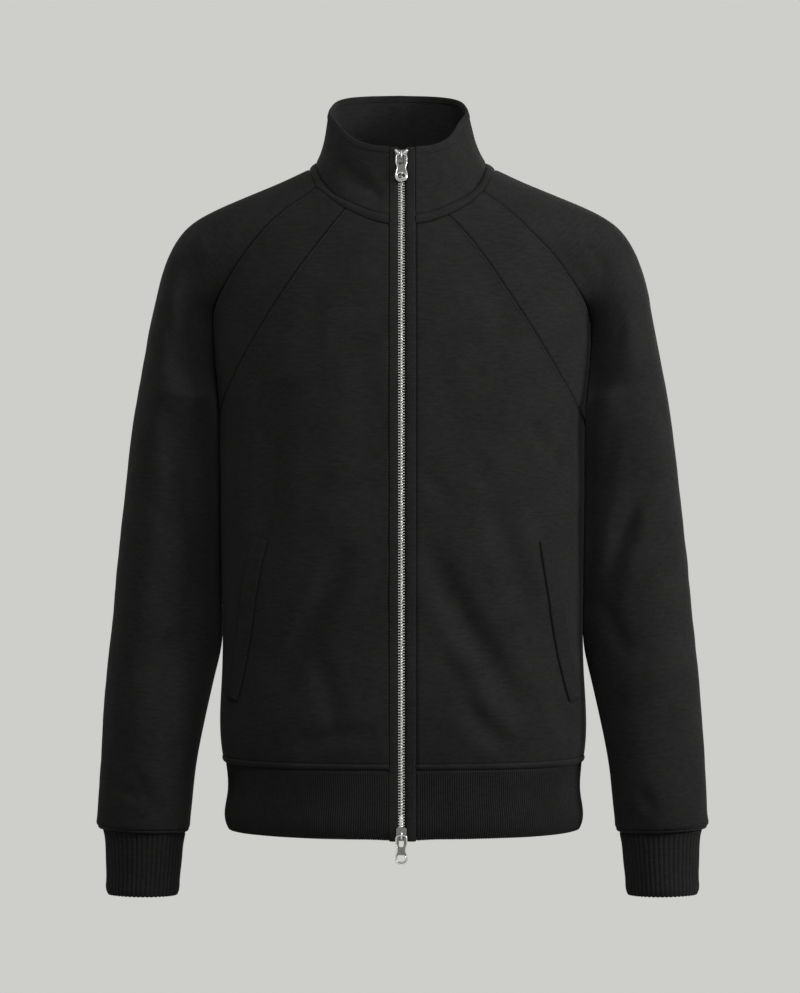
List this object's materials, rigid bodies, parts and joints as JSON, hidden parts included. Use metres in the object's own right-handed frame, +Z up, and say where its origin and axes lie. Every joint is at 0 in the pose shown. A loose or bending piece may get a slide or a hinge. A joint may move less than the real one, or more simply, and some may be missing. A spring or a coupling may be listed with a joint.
{
  "type": "zip-up sweatshirt",
  "caption": "Raglan zip-up sweatshirt with a stand collar, two-way metal zip, slanted welt pockets and ribbed hem and cuffs, in its worn form.",
  "frame": {"origin": "middle of the neck opening at shoulder height", "axes": "+Z up, the front faces -Y, +X is the wearer's left"},
  "size_m": [0.6042, 0.2506, 0.8018],
  "materials": {
    "fleece": "brushed",
    "rib_knit": "ribbed",
    "zip_tape": "woven",
    "zip_metal": "polished"
  },
  "bodies": {
    "root": {"front_right": "fleece", "front_left": "fleece", "yoke_right": "fleece", "yoke_left": "fleece", "back": "fleece", "sleeve_right": "fleece", "sleeve_left": "fleece", "collar": "fleece", "neck_band": "fleece", "front_band_right": "fleece", "front_band_left": "fleece", "welt_right": "fleece", "welt_left": "fleece", "hem_rib": "rib_knit", "cuff_right": "rib_knit", "cuff_left": "rib_knit", "zip_tape_right": "zip_tape", "zip_tape_left": "zip_tape", "zip_chain": "zip_metal", "slider_top": "zip_metal", "slider_bottom": "zip_metal"},
    "pull_top": {"pull_top": "zip_metal"},
    "pull_bottom": {"pull_bottom": "zip_metal"}
  },
  "joints": [
    {"name": "pull_top", "type": "hinge", "parent": "root", "child": "pull_top", "pos_m": [-0.0012, -0.08031, 0.00891], "axis": [-1, 0, 0], "range_deg": [0, 165]},
    {"name": "pull_bottom", "type": "hinge", "parent": "root", "child": "pull_bottom", "pos_m": [-0.0012, -0.13135, -0.6498], "axis": [-1, 0, 0], "range_deg": [0, 160]}
  ]
}
